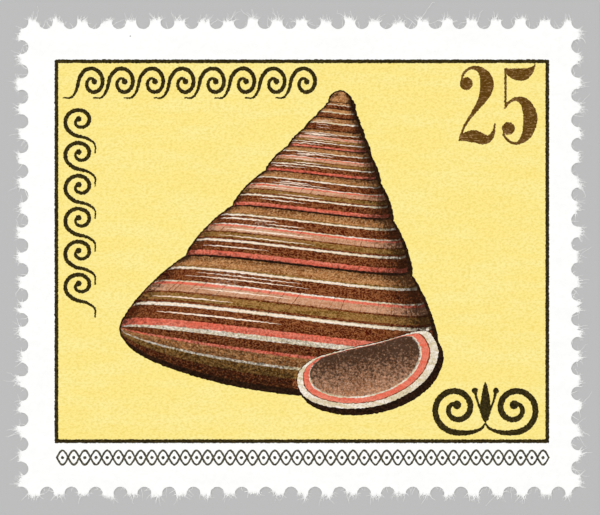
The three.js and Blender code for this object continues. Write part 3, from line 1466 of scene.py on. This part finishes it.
@dataclass(frozen=True)
class Finish:
    """A surface of the stamp, drawn in millimetres on the sheet's object coordinates.

    Attributes:
        name: the material's name.
        colour: what it shows, as a display colour.
        drift: the colour that it drifts to in soft streaks.
        grain: the colour of its fine grain.
        drift_share: how strongly the drift shows.
        grain_share: how strongly the grain shows.
        grain_size: how high a grain is.
        grain_length: how long it is, level or along the picture's bands.
        wormy: whether the grain runs in fine curls, and not in dots.
        roughness: of the surface.
        gloss: how strongly it mirrors light.
        relief: the height of the paper's fibres under the ink.
        shaded: whether the picture's shading and gloss are stippled on it.
        scratches: how strongly fine light scratches show.
        shade_colour, gloss_colour: of the stipple.
        scratch_colour: of the scratches.
    """

    name: str
    colour: Colour
    drift: Colour
    grain: Colour
    drift_share: float = 0.5
    grain_share: float = 0.4
    grain_size: float = 0.13
    grain_length: float = 0.13
    wormy: bool = False
    roughness: float = 0.75
    gloss: float = 0.03
    relief: float = 0.004
    shaded: bool = False
    scratches: float = 0.0
    shade_colour: Colour = (0.10, 0.045, 0.015)
    gloss_colour: Colour = (0.93, 0.84, 0.75)
    scratch_colour: Colour = (0.82, 0.66, 0.46)

    # The drift's streaks, in the picture's bands and elsewhere, the two kinds of grain, the
    # scratches, the stipple and the paper's fibres.
    BAND_STREAKS = Mottle(1.1, 3.0, 0.6, low=0.42, high=0.57, stretch=(0.3, 3.4, 1.0))
    LEVEL_STREAKS = Mottle(1.1, 3.0, 0.6, low=0.42, high=0.64, stretch=(0.22, 1.0, 1.0))
    DOTS = Mottle(1.0, 1.5, 0.6, 0.5, low=0.44, high=0.66)
    CURLS = Mottle(1.0, 1.5, 0.6, 0.5, low=0.075, high=0.0, ridged=True)
    SCRATCHES = Mottle(1.0, 3.0, 0.5, 1.4, low=0.54, high=0.68, stretch=(3.6, 13.0, 1.0))
    STIPPLE = Mottle(7.5, 2.0, 0.7, 0.4, low=-0.2, high=0.2)
    FIBRES = Mottle(5.0, 4.0, 0.6, 1.2)
    # How strongly shade and gloss show at most, and the noise that they take where they are least
    # and where they are full.
    SHADE_STIPPLE = (0.9, 0.80, 0.24)
    GLOSS_STIPPLE = (0.7, 0.95, 0.24)

    def material(self) -> bpy.types.Material:
        """Makes the finish.

        Returns:
            A new material.
        """
        material = plain_material(self.name, self.colour, self.roughness)
        nodes = NodeTree(material.node_tree)
        shader = material.node_tree.nodes["Principled BSDF"]
        shader.inputs["Specular IOR Level"].default_value = self.gloss
        millimetres = nodes.scaled(nodes.add("ShaderNodeTexCoord").outputs["Object"], 1 / MM)
        along = nodes.stated("flow").outputs["Vector"] if self.shaded else millimetres
        drift = self.BAND_STREAKS if self.shaded else self.LEVEL_STREAKS
        colour = nodes.mottled(along, drift, self.drift_share, self.colour, self.drift)
        colour = nodes.mottled(along, self.grains(), self.grain_share, colour, self.grain)
        if self.scratches:
            colour = nodes.mottled(millimetres, self.SCRATCHES, self.scratches, colour, self.scratch_colour)
        if self.shaded:
            colour = self.stippled(nodes, millimetres, colour)
        nodes.feed(shader.inputs["Base Color"], colour)
        nodes.feed(shader.inputs["Normal"], self.fibres(nodes, millimetres))
        return material

    def grains(self) -> Mottle:
        """Returns the pattern of the print's fine grain, in the finish's own size."""
        size = (1 / self.grain_length, 1 / self.grain_size, 1.0)
        return replace(self.CURLS if self.wormy else self.DOTS, stretch=size)

    def stippled(self, nodes: NodeTree, place: Socket, colour: Socket) -> Socket:
        """Draws the picture's shading and gloss over a colour, broken up into stipple.

        Args:
            nodes: the material's nodes.
            place: where the stipple is read.
            colour: the colour.

        Returns:
            The shaded colour.
        """
        grain = nodes.noise(place, self.STIPPLE)
        tints = (
            ("dark", self.shade_colour, self.SHADE_STIPPLE),
            ("gloss", self.gloss_colour, self.GLOSS_STIPPLE),
        )
        for name, tint, (most, least, full) in tints:
            limit = nodes.spread(nodes.stated(name).outputs["Fac"], 0.0, 1.0, (least, full))
            over = nodes.number("SUBTRACT", grain, limit)
            colour = nodes.laid(over, self.STIPPLE, most, colour, tint)
        return colour

    def fibres(self, nodes: NodeTree, place: Socket) -> Socket:
        """Returns the normal of the paper's fibres."""
        inputs = {"Height": nodes.noise(place, self.FIBRES), "Distance": self.relief * MM}
        return nodes.add("ShaderNodeBump", inputs).outputs["Normal"]


# What the picture's inks with a coarse curly grain have in common.
CURLY = {"drift_share": 0.8, "grain_size": 0.15, "grain_length": 0.24, "wormy": True, "shaded": True}

FINISHES: dict[Ink | Side, Finish] = {
    Ink.PAPER: Finish(
        "bare_paper", (0.985, 0.985, 0.975), (0.97, 0.97, 0.955), (0.955, 0.955, 0.94),
        grain_share=0.35, grain_size=0.35, grain_length=0.35, roughness=0.85,
    ),
    Ink.FIELD: Finish(
        "yellow_field", (0.98, 0.898, 0.542), (0.98, 0.922, 0.612), (0.90, 0.80, 0.37),
        drift_share=0.7, grain_share=0.54, grain_size=0.11, grain_length=0.17,
    ),
    Ink.LINE: Finish(
        "dark_line", (0.15, 0.12, 0.04), (0.18, 0.145, 0.055), (0.35, 0.30, 0.14),
        grain_share=0.5,
    ),
    Ink.NUMERAL: Finish(
        "numeral_ink", (0.335, 0.215, 0.03), (0.365, 0.24, 0.045), (0.47, 0.345, 0.14),
        grain_share=0.5, scratches=0.5, wormy=True,
    ),
    Ink.FINE: Finish(
        "fine_line", (0.24, 0.23, 0.18), (0.28, 0.26, 0.20), (0.46, 0.43, 0.35), grain_share=0.6,
    ),
    Ink.TAN: Finish(
        "tan_ink", (0.68, 0.445, 0.25), (0.48, 0.275, 0.12), (0.83, 0.64, 0.44),
        grain_share=0.9, **CURLY,
    ),
    Ink.RED_BROWN: Finish(
        "red_brown_ink", (0.29, 0.08, 0.015), (0.38, 0.165, 0.065), (0.65, 0.41, 0.24),
        grain_share=0.95, **CURLY,
    ),
    Ink.CREAM: Finish(
        "cream_ink", (0.86, 0.80, 0.67), (0.98, 0.94, 0.89), (0.74, 0.66, 0.48),
        drift_share=0.9, grain_share=0.6, shaded=True,
    ),
    Ink.OLIVE: Finish(
        "olive_ink", (0.43, 0.29, 0.10), (0.57, 0.39, 0.20), (0.70, 0.55, 0.32),
        grain_share=0.9, **CURLY,
    ),
    Ink.CORAL: Finish(
        "coral_ink", (0.905, 0.435, 0.34), (0.93, 0.56, 0.46), (0.78, 0.32, 0.23),
        drift_share=0.7, grain_share=0.55, shaded=True,
    ),
    Ink.ROSE: Finish(
        "rose_ink", (0.80, 0.58, 0.44), (0.68, 0.44, 0.28), (0.89, 0.75, 0.64),
        drift_share=0.8, grain_share=0.6, wormy=True, shaded=True,
    ),
    Ink.BLACK: Finish(
        "black_ink", (0.09, 0.05, 0.02), (0.13, 0.075, 0.035), (0.28, 0.17, 0.10), grain_share=0.5,
    ),
    Ink.WHITE: Finish(
        "white_ink", (0.965, 0.88, 0.79), (0.98, 0.94, 0.88), (0.89, 0.76, 0.64), grain_share=0.7,
    ),
    Side.GUM: Finish(
        "gummed_back", (0.95, 0.94, 0.895), (0.93, 0.915, 0.86), (0.90, 0.885, 0.82),
        grain_size=1.1, grain_length=1.1, roughness=0.38, gloss=0.45, relief=0.012,
    ),
    Side.EDGE: Finish(
        "torn_edge", (0.98, 0.98, 0.97), (0.96, 0.96, 0.945), (0.92, 0.915, 0.90),
        grain_size=0.05, grain_length=0.05, roughness=0.95,
    ),
}


@dataclass(frozen=True)
class Sheet:
    """The paper, as one closed mesh: printed face, torn edge and gummed back.

    Attributes:
        edge: the outline.
        thickness: of the paper.
        printing: what is printed on it.
        middle: where the print's origin lies.
        feather: how much thinner the paper is at the tear.
        feather_width: how far inside the tear the paper starts to thin.
        feather_scale: how many swells of the thinning there are in 1 mm.
        grain_step: between the loose points that carry the shading.
        levels: how high the edge's lower rings lie, over the thickness.
        swells: how far each of them reaches out at the tear, about.
        wall_swell: how far they reach out on a hole's wall.
        swell_scales: how many swells there are in 1 mm at the back, and how many more at the front.
        front_scale, back_scale: the size of the map's printed face and back.
        map_margin: the room round each of them.
    """

    edge: Edge
    thickness: float
    printing: Print
    middle: np.ndarray
    feather: float = 0.3
    feather_width: float = 0.07
    feather_scale: float = 9.0
    grain_step: float = 0.34
    levels: tuple[float, ...] = (0.65, 0.25, 0.0)
    swells: tuple[float, ...] = (0.05, 0.075, 0.0)
    wall_swell: float = 0.004
    swell_scales: Point = (22.0, 30.0)
    front_scale: float = 0.0270
    back_scale: float = 0.0055
    map_margin: float = 0.01

    def build(self) -> bpy.types.Object:
        """Makes the sheet.

        Returns:
            The finished sheet as an object.
        """
        face, triangles, inks, ring = self.printed_face()
        heights = np.full(len(face), self.thickness)
        torn = ring[self.edge.torn > 0]
        heights[torn] *= 1 - self.feather * self.noise_at(face[torn], self.feather_scale)
        walls, wall_places = self.walls(ring, len(face))
        back, back_triangles = self.back_face()
        first_back = len(face) + len(wall_places) - len(ring)
        places = np.vstack([np.column_stack([face, heights]), wall_places[: -len(ring)], back])
        faces = triangles.tolist() + walls + (back_triangles + first_back).tolist()
        slots = [ink.value for ink in inks] + [Side.EDGE.value] * len(walls)
        slots += [Side.GUM.value] * len(back_triangles)
        mesh = bpy.data.meshes.new("printed_sheet")
        mesh.from_pydata((places * MM).tolist(), [], faces)
        for kind in (*Ink, *Side):
            mesh.materials.append(FINISHES[kind].material())
        mesh.polygons.foreach_set("material_index", slots)
        dark, gloss, flow = self.printing.shell.shade(places[:, :2] - self.middle)
        store(mesh, dark=dark, gloss=gloss, flow=flow)
        self.lay_out(mesh, places, len(triangles) + len(walls))
        mesh.validate()
        return placed("printed_sheet", mesh)

    def printed_face(self) -> tuple[Loop, np.ndarray, list[Ink], np.ndarray]:
        """Cuts the top face into the print's regions.

        Returns:
            The face's points, its triangles, the ink of each, and which points make the outline.
        """
        patches = [Patch(p.ink, p.loop + self.middle) for p in self.printing.patches()]
        loops = [patch.loop for patch in patches]
        points, triangles, ring = self.triangulated(self.edge.points, loops, self.loose_points())
        middles = points[triangles].mean(1)
        inks = np.full(len(triangles), Ink.PAPER)
        for patch in patches:
            inks[within(patch.loop, middles)] = patch.ink
        return points, triangles, list(inks), ring

    @staticmethod
    def triangulated(outline: Loop, loops: list[Loop], loose: Loop) -> tuple[Loop, np.ndarray, np.ndarray]:
        """Fills the outline with triangles whose sides follow every loop on it.

        Args:
            outline: the outline, counter-clockwise.
            loops: the shapes on it.
            loose: further points inside the outline.

        Returns:
            The points, the triangles, and which points make the outline.
        """
        starts = np.cumsum([len(outline), *(len(loop) for loop in loops)])
        sides = [(i, i + 1) for i in range(starts[0], starts[-1])]
        for start, end in zip(starts, starts[1:]):
            sides[end - 1 - starts[0]] = (end - 1, start)
        given = [Vector(p) for p in np.vstack([outline, *loops, loose]).tolist()]
        rim = list(range(len(outline)))
        points, _, faces, sources, _, owners = delaunay_2d_cdt(given, sides, [rim], 1, 1e-6, True)
        inside = np.array([face for face, owner in zip(faces, owners) if owner])
        place = {index: i for i, source in enumerate(sources) for index in source}
        ring = np.array([place[i] for i in rim])
        return np.array([tuple(p) for p in points]), inside, ring

    def loose_points(self) -> Loop:
        """Lays points along the feathered tear and over the picture.

        Returns:
            The points, all inside the sheet.
        """
        torn = self.edge.torn > 0
        inner = self.edge.points[torn] - self.feather_width * self.edge.outward[torn]
        shell = self.printing.shell.silhouette() + self.middle
        (x0, y0), (x1, y1) = shell.min(0), shell.max(0)
        x, y = np.meshgrid(np.arange(x0, x1, self.grain_step), np.arange(y0, y1, self.grain_step))
        return np.vstack([inner, np.stack([x.ravel(), y.ravel()], axis=1)])

    @staticmethod
    def noise_at(points: Loop, scale: float) -> np.ndarray:
        """Returns noise from 0 to 1 at some points."""
        return np.array([0.5 + 0.5 * noise.noise(Vector((x, y, 0.0)) * scale) for x, y in points])

    def walls(self, ring: np.ndarray, first: int) -> tuple[list[list[int]], np.ndarray]:
        """Makes the edge of the sheet.

        Args:
            ring: which of the printed face's points make the outline.
            first: the number of the first point below them.

        Returns:
            The edge's faces, and the points of its lower rings.
        """
        count, edge = len(ring), self.edge
        places = []
        back, more = self.swell_scales
        for level, swell in zip(self.levels, self.swells):
            ragged = edge.torn * 2 * self.noise_at(edge.points, back + more * level)
            out = edge.outward * (swell * ragged + self.wall_swell * (1 - edge.torn))[:, None]
            heights = np.full(count, level * self.thickness)
            places.append(np.column_stack([edge.points + out * (level > 0), heights]))
        rings = [ring] + [first + i * count + np.arange(count) for i in range(len(self.levels))]
        walls = []
        for upper, lower in zip(rings, rings[1:]):
            corners = (lower, np.roll(lower, -1), np.roll(upper, -1), upper)
            walls += np.stack(corners, axis=1).tolist()
        return walls, np.vstack(places)

    def back_face(self) -> tuple[np.ndarray, np.ndarray]:
        """Fills the back.

        Returns:
            The back's points, which are the lowest ring's in their order, and its triangles.
        """
        points, triangles, order = self.triangulated(self.edge.points, [], np.empty((0, 2)))
        rank = np.empty(len(points), int)
        rank[order] = np.arange(len(order))
        return np.column_stack([points[order], np.zeros(len(order))]), rank[triangles][:, ::-1]

    def lay_out(self, mesh: bpy.types.Mesh, places: np.ndarray, first_back: int) -> None:
        """Gives the mesh its map: the print large, the edge round it and the back small above.

        Args:
            mesh: the sheet.
            places: its points.
            first_back: the number of the back's first face.
        """
        scale, margin = self.front_scale, self.map_margin
        reach = np.abs(places[:, :2]).max(0) + self.thickness
        spread = places[:, :2] + reach
        drop = self.thickness - places[:, 2]
        out = np.zeros((len(places), 2))
        rings = len(self.levels)
        out[len(places) - rings * len(self.edge.points) :] = np.tile(self.edge.outward, (rings, 1))
        front = margin + scale * spread + scale * out * drop[:, None]
        back = np.array([margin, 2 * margin + 2 * scale * reach[1]]) + self.back_scale * spread
        corners = np.empty(len(mesh.loops), int)
        mesh.loops.foreach_get("vertex_index", corners)
        owner = np.repeat(np.arange(len(mesh.polygons)), [p.loop_total for p in mesh.polygons])
        uv = np.where((owner >= first_back)[:, None], back[corners], front[corners])
        mesh.uv_layers.new(name=BAKE_MAP).data.foreach_set("uv", uv.astype(np.float32).ravel())


@dataclass(frozen=True)
class TornFibres:
    """The paper fibres that stick out of the torn teeth, grown by Geometry Nodes.

    Attributes:
        per_point: how many fibres grow at each point of a tear.
        on_walls: how many grow at each point of a hole's wall.
        root_depth: how far inside the edge they start.
        root_scatter: how much that differs.
        root_heights: between which heights they start, over the paper's thickness.
        usual: a fibre's length, as long as half of them.
        variety: how much the lengths differ. Few are long.
        longest: the most that a fibre measures.
        wall_share: the length of a wall's fibres, over that of the tear's.
        width: of the narrowest fibres where they leave the paper.
        widest: the width of the widest, over that.
        rareness: how rare wide fibres are. More is rarer.
        flatness: a fibre's thickness, over its width.
        tip: its width at its free end, over that where it leaves the paper.
        taper_start: how far along a fibre it starts to narrow.
        fan: how far fibres turn from straight outwards, about, in degrees.
        rise: how steeply they rise or fall, about.
        bend: how far a fibre bends, about, over its length.
        curl: how far its free end curls, about, over its length.
        curl_scale: how many swells of the curl there are in 1 mm.
        lift: how far fibres bend and curl upwards, over how far they do so sideways.
        step: from one ring of the mesh to the next.
        seed: for the random part.
        colour: the fibres' own clear white.
        roughness: of their surface.
    """

    per_point: float = 5.6
    on_walls: float = 0.09
    root_depth: float = 0.03
    root_scatter: float = 0.01
    root_heights: Point = (0.1, 0.6)
    usual: float = 0.125
    variety: float = 0.60
    longest: float = 1.2
    wall_share: float = 2.0
    width: float = 0.014
    widest: float = 1.8
    rareness: int = 3
    flatness: float = 0.4
    tip: float = 0.5
    taper_start: float = 0.3
    fan: float = 38.0
    rise: float = 0.06
    bend: float = 0.22
    curl: float = 1.1
    curl_scale: float = 3.2
    lift: Point = (0.2, 0.25)
    step: float = 0.12
    seed: int = 5
    colour: Colour = (0.995, 0.995, 0.985)
    roughness: float = 0.6

    def build(self, edge: Edge, thickness: float) -> bpy.types.Object:
        """Grows the fibres of a sheet's edge.

        Args:
            edge: the sheet's outline.
            thickness: of the paper.

        Returns:
            The fibres as one plain mesh.
        """
        fibres = placed("torn_fibres", self.roots(edge, thickness))
        sizes = {"Width": self.width * MM, "Ring step": self.step * MM, "Curl": self.curl}
        grower = fibres.modifiers.new("fibres", "NODES")
        grower.node_group = self.tree(sizes)
        for socket in grower.node_group.interface.items_tree:
            if socket.name in sizes:
                grower[socket.identifier] = sizes[socket.name]
        grown_fibres = fibres.evaluated_get(bpy.context.evaluated_depsgraph_get())
        mesh = bpy.data.meshes.new_from_object(grown_fibres)
        fibres.modifiers.remove(grower)
        fibres.data = mesh
        return fibres

    def roots(self, edge: Edge, thickness: float) -> bpy.types.Mesh:
        """Draws the fibres by lot.

        Args:
            edge: the sheet's outline.
            thickness: of the paper.

        Returns:
            Loose points where fibres start, with each fibre's heading, length, bend and widening.
        """
        rng = np.random.default_rng(self.seed)
        often = rng.poisson(np.where(edge.torn > 0, self.per_point, self.on_walls))
        roots = np.repeat(np.arange(len(edge.points)), often)
        count = len(roots)
        turn = np.radians(rng.normal(0, self.fan, count))
        x, y = edge.outward[roots].T
        cosine, sine = np.cos(turn), np.sin(turn)
        rise = rng.normal(0, self.rise, count)
        heading = np.stack([x * cosine - y * sine, x * sine + y * cosine, rise], axis=1)
        length = rng.lognormal(math.log(self.usual), self.variety, count)
        length *= np.where(edge.torn[roots] > 0, 1, self.wall_share)
        length = np.minimum(length, self.longest)
        bend = rng.normal(0, self.bend, (count, 3)) * (1, 1, self.lift[0])
        places = edge.points[roots] - self.root_depth * edge.outward[roots]
        places += rng.normal(0, self.root_scatter, (count, 2))
        heights = rng.uniform(*self.root_heights, count) * thickness
        mesh = bpy.data.meshes.new("roots")
        mesh.from_pydata((np.column_stack([places, heights]) * MM).tolist(), [], [])
        widening = 1 + (self.widest - 1) * rng.random(count) ** self.rareness
        store(mesh, heading=heading, bend=bend, length=length, widening=widening)
        return mesh

    def tree(self, sizes: dict[str, float]) -> bpy.types.NodeTree:
        """Makes the node tree that grows the fibres.

        Args:
            sizes: the names of its inputs, with their values.

        Returns:
            The tree.
        """
        tree = bpy.data.node_groups.new("fibres", "GeometryNodeTree")
        tree.interface.new_socket("Roots", in_out="INPUT", socket_type="NodeSocketGeometry")
        for name in sizes:
            tree.interface.new_socket(name, in_out="INPUT", socket_type="NodeSocketFloat")
        tree.interface.new_socket("Fibres", in_out="OUTPUT", socket_type="NodeSocketGeometry")
        nodes = NodeTree(tree)
        given = nodes.add("NodeGroupInput").outputs
        lines = self.lines(nodes, given["Roots"], given["Ring step"])
        lines = self.bent(nodes, lines, given["Curl"])
        thickness = nodes.number("MULTIPLY", given["Width"], self.flatness)
        lines = self.lifted(nodes, lines, thickness)
        ribbons = self.ribbons(nodes, lines, given["Width"], thickness)
        real = nodes.add("GeometryNodeRealizeInstances", {"Geometry": ribbons}).outputs[0]
        finish = plain_material("paper_fibre", self.colour, self.roughness)
        dressed = nodes.add("GeometryNodeSetMaterial", {"Geometry": real, "Material": finish})
        nodes.add("NodeGroupOutput", {"Fibres": dressed.outputs[0]})
        return tree

    def lines(self, nodes: NodeTree, roots: Socket, step: Socket) -> Socket:
        """Draws a straight line for each fibre.

        Args:
            nodes: the tree's nodes.
            roots: the points where fibres start.
            step: the length of the steps that the lines are cut into.

        Returns:
            The lines.
        """
        heading = nodes.named("heading", "FLOAT_VECTOR")
        turned = nodes.add("FunctionNodeAlignRotationToVector", {"Vector": heading}, axis="X")
        length = nodes.named("length")
        size = nodes.joined(length, length, length)
        points = nodes.add("GeometryNodeMeshToPoints", {"Mesh": roots}).outputs[0]
        line = nodes.add("GeometryNodeCurvePrimitiveLine", {"End": (MM, 0.0, 0.0)}).outputs[0]
        inputs = {"Points": points, "Instance": line, "Rotation": turned.outputs[0], "Scale": size}
        instances = nodes.add("GeometryNodeInstanceOnPoints", inputs).outputs[0]
        lines = nodes.add("GeometryNodeRealizeInstances", {"Geometry": instances}).outputs[0]
        cut = nodes.add("GeometryNodeResampleCurve", {"Curve": lines}, mode="LENGTH")
        nodes.feed(cut.inputs["Length"], step)
        along = nodes.add("GeometryNodeSplineParameter").outputs["Factor"]
        return nodes.stored(cut.outputs[0], "along", along, "FLOAT", "POINT")

    def bent(self, nodes: NodeTree, lines: Socket, curl: Socket) -> Socket:
        """Bends and curls the lines, the more the further from the paper.

        Args:
            nodes: the tree's nodes.
            lines: the fibres' lines.
            curl: how far their free ends curl.

        Returns:
            The bent lines.
        """
        along, length = nodes.named("along"), nodes.named("length")
        grip = nodes.number("MULTIPLY", nodes.number("MULTIPLY", along, along), length)
        place = nodes.add("GeometryNodeInputPosition").outputs[0]
        inputs = {"Vector": place, "Scale": self.curl_scale / MM, "Detail": 1.0}
        noises = nodes.add("ShaderNodeTexNoise", inputs).outputs
        centred = nodes.vector("SUBTRACT", noises["Color"], (0.5, 0.5, 0.5))
        swing = nodes.joined(curl, curl, self.lift[1])
        way = nodes.vector("MULTIPLY_ADD", centred, swing, nodes.named("bend", "FLOAT_VECTOR"))
        shift = nodes.scaled(way, nodes.number("MULTIPLY", grip, MM))
        return nodes.add("GeometryNodeSetPosition", {"Geometry": lines, "Offset": shift}).outputs[0]

    def lifted(self, nodes: NodeTree, lines: Socket, thickness: Socket) -> Socket:
        """Keeps the lines above the ground.

        Args:
            nodes: the tree's nodes.
            lines: the fibres' lines.
            thickness: of the narrowest fibres.

        Returns:
            The lines, with no point lower than a fibre can lie.
        """
        place = nodes.add("GeometryNodeInputPosition").outputs[0]
        parts = nodes.add("ShaderNodeSeparateXYZ", {0: place}).outputs
        lowest = nodes.number("MULTIPLY", thickness, nodes.named("widening"))
        height = nodes.number("MAXIMUM", parts["Z"], lowest)
        inputs = {"Geometry": lines, "Position": nodes.joined(parts["X"], parts["Y"], height)}
        return nodes.add("GeometryNodeSetPosition", inputs).outputs[0]

    def ribbons(self, nodes: NodeTree, lines: Socket, width: Socket, thickness: Socket) -> Socket:
        """Makes the lines flat closed ribbons that narrow towards their free ends, with a map.

        Args:
            nodes: the tree's nodes.
            lines: the fibres' lines.
            width: of the narrowest ribbons.
            thickness: of the same.

        Returns:
            The ribbons.
        """
        ring = nodes.add("GeometryNodeCurvePrimitiveQuadrilateral", {"Width": width, "Height": thickness})
        round_it = nodes.add("GeometryNodeSplineParameter").outputs["Factor"]
        ring = nodes.stored(ring.outputs[0], "around", round_it, "FLOAT", "POINT")
        lines = nodes.add("GeometryNodeSetCurveNormal", {"Curve": lines}, mode="Z_UP").outputs[0]
        taper = nodes.spread(nodes.named("along"), self.taper_start, 1.0, (1.0, self.tip))
        scale = nodes.number("MULTIPLY", taper, nodes.named("widening"))
        inputs = {"Curve": lines, "Profile Curve": ring, "Scale": scale, "Fill Caps": True}
        ribbons = nodes.add("GeometryNodeCurveToMesh", inputs).outputs[0]
        place = nodes.joined(nodes.named("along"), nodes.named("around"))
        mapped = nodes.stored(ribbons, BAKE_MAP, place, "FLOAT2", "CORNER")
        inputs = {"Geometry": mapped, "Shade Smooth": False}
        return nodes.add("GeometryNodeSetShadeSmooth", inputs).outputs[0]


@dataclass(frozen=True)
class SoftLight:
    """A soft square light that faces the stamp.

    Attributes:
        name: the light's name.
        place: where it hangs, in metres.
        size: of its sides, in metres.
        power: in watts.
    """

    name: str
    place: tuple[float, float, float]
    size: float
    power: float

    def hang(self) -> None:
        """Adds the light to the scene."""
        data = bpy.data.lights.new(self.name, "AREA")
        data.energy, data.size = self.power, self.size
        light = placed(self.name, data)
        light.location = self.place
        light.rotation_euler = (-Vector(self.place)).to_track_quat("-Z", "Y").to_euler()


@dataclass(frozen=True)
class Studio:
    """A pale floor, soft lights and a camera that looks straight down.

    Attributes:
        floor_size: of the floor's sides, in metres.
        floor_colour: as a display colour.
        floor_gap: how far the floor lies under the sheet, in millimetres.
        lights: the lights that face the stamp.
        even_strength, even_angle: of a very soft light from far above, which reaches the whole
            floor evenly.
        surround_colour, surround_strength: of the pale surroundings.
        view_width: how much the picture shows from side to side, in millimetres.
        view_middle: where its middle lies, from that of the perforation, in millimetres.
        lens, sensor: of the camera, in millimetres.
    """

    floor_size: float = 8.0
    floor_colour: Colour = (0.72, 0.72, 0.715)
    floor_gap: float = 0.004
    lights: tuple[SoftLight, ...] = (
        SoftLight("key", (-0.30, 0.25, 0.42), 0.28, 0.85),
        SoftLight("fill", (0.38, -0.22, 0.36), 0.40, 0.55),
    )
    even_strength: float = 1.2
    even_angle: float = math.radians(60)
    surround_colour: Colour = (0.8, 0.81, 0.83)
    surround_strength: float = 0.5
    view_width: float = 35.22
    view_middle: Point = (0.011, 0.02)
    lens: float = 200.0
    sensor: float = 36.0

    def build(self, middle: np.ndarray) -> None:
        """Makes the floor, the lights, the surroundings and the camera.

        Args:
            middle: the point that the camera is set over.
        """
        self.floor()
        for light in self.lights:
            light.hang()
        self.even_light()
        self.world()
        self.camera(middle)

    def floor(self) -> None:
        """Makes the floor, just under the sheet."""
        half, low = self.floor_size / 2, -self.floor_gap * MM
        mesh = bpy.data.meshes.new("floor")
        corners = [(-half, -half, low), (half, -half, low), (half, half, low), (-half, half, low)]
        mesh.from_pydata(corners, [], [(0, 1, 2, 3)])
        mesh.materials.append(plain_material("floor", self.floor_colour, 0.9))
        placed("floor", mesh)

    def even_light(self) -> None:
        """Adds the even light from above."""
        data = bpy.data.lights.new("ceiling", "SUN")
        data.energy, data.angle = self.even_strength, self.even_angle
        placed("ceiling", data).location = (0.0, 0.0, 1.0)

    def world(self) -> None:
        """Makes the even pale surroundings."""
        world = bpy.data.worlds.new("studio")
        world.use_nodes = True
        inputs = world.node_tree.nodes["Background"].inputs
        inputs["Color"].default_value = (*self.surround_colour, 1)
        inputs["Strength"].default_value = self.surround_strength
        scene = bpy.context.scene
        scene.world = world
        scene.view_settings.view_transform = "Standard"

    def camera(self, middle: np.ndarray) -> None:
        """Sets a long lens straight over the stamp, as wide as the photograph.

        Args:
            middle: the point that it is set over.
        """
        data = bpy.data.cameras.new("camera")
        data.lens, data.sensor_width, data.sensor_fit = self.lens, self.sensor, "HORIZONTAL"
        data.clip_start = 0.01
        camera = placed("camera", data)
        height = self.view_width * self.lens / self.sensor
        x, y = middle + np.array(self.view_middle)
        camera.location = (x * MM, y * MM, height * MM)
        bpy.context.scene.camera = camera


def main() -> None:
    """Builds the stamp and its studio around the frame."""
    logging.basicConfig(level=logging.INFO, format="%(message)s")
    noise.seed_set(NOISE_SEED)  # without it noise_vector differs from run to run
    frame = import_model()
    perforation = Perforation.read(frame["nodes"][SHEET_NODE])
    LOG.info("perforation: %d holes", len(perforation.holes))
    edge = TearOff().edge(perforation)
    sheet = Sheet(edge, perforation.thickness, Print(), perforation.middle).build()
    LOG.info("printed_sheet: %d faces", len(sheet.data.polygons))
    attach(sheet, BODY)
    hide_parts(SHEET_NODE)
    fibres = TornFibres().build(edge, perforation.thickness)
    LOG.info("torn_fibres: %d faces", len(fibres.data.polygons))
    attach(fibres, BODY)
    Studio().build(perforation.middle)


if __name__ == "__main__":
    main()
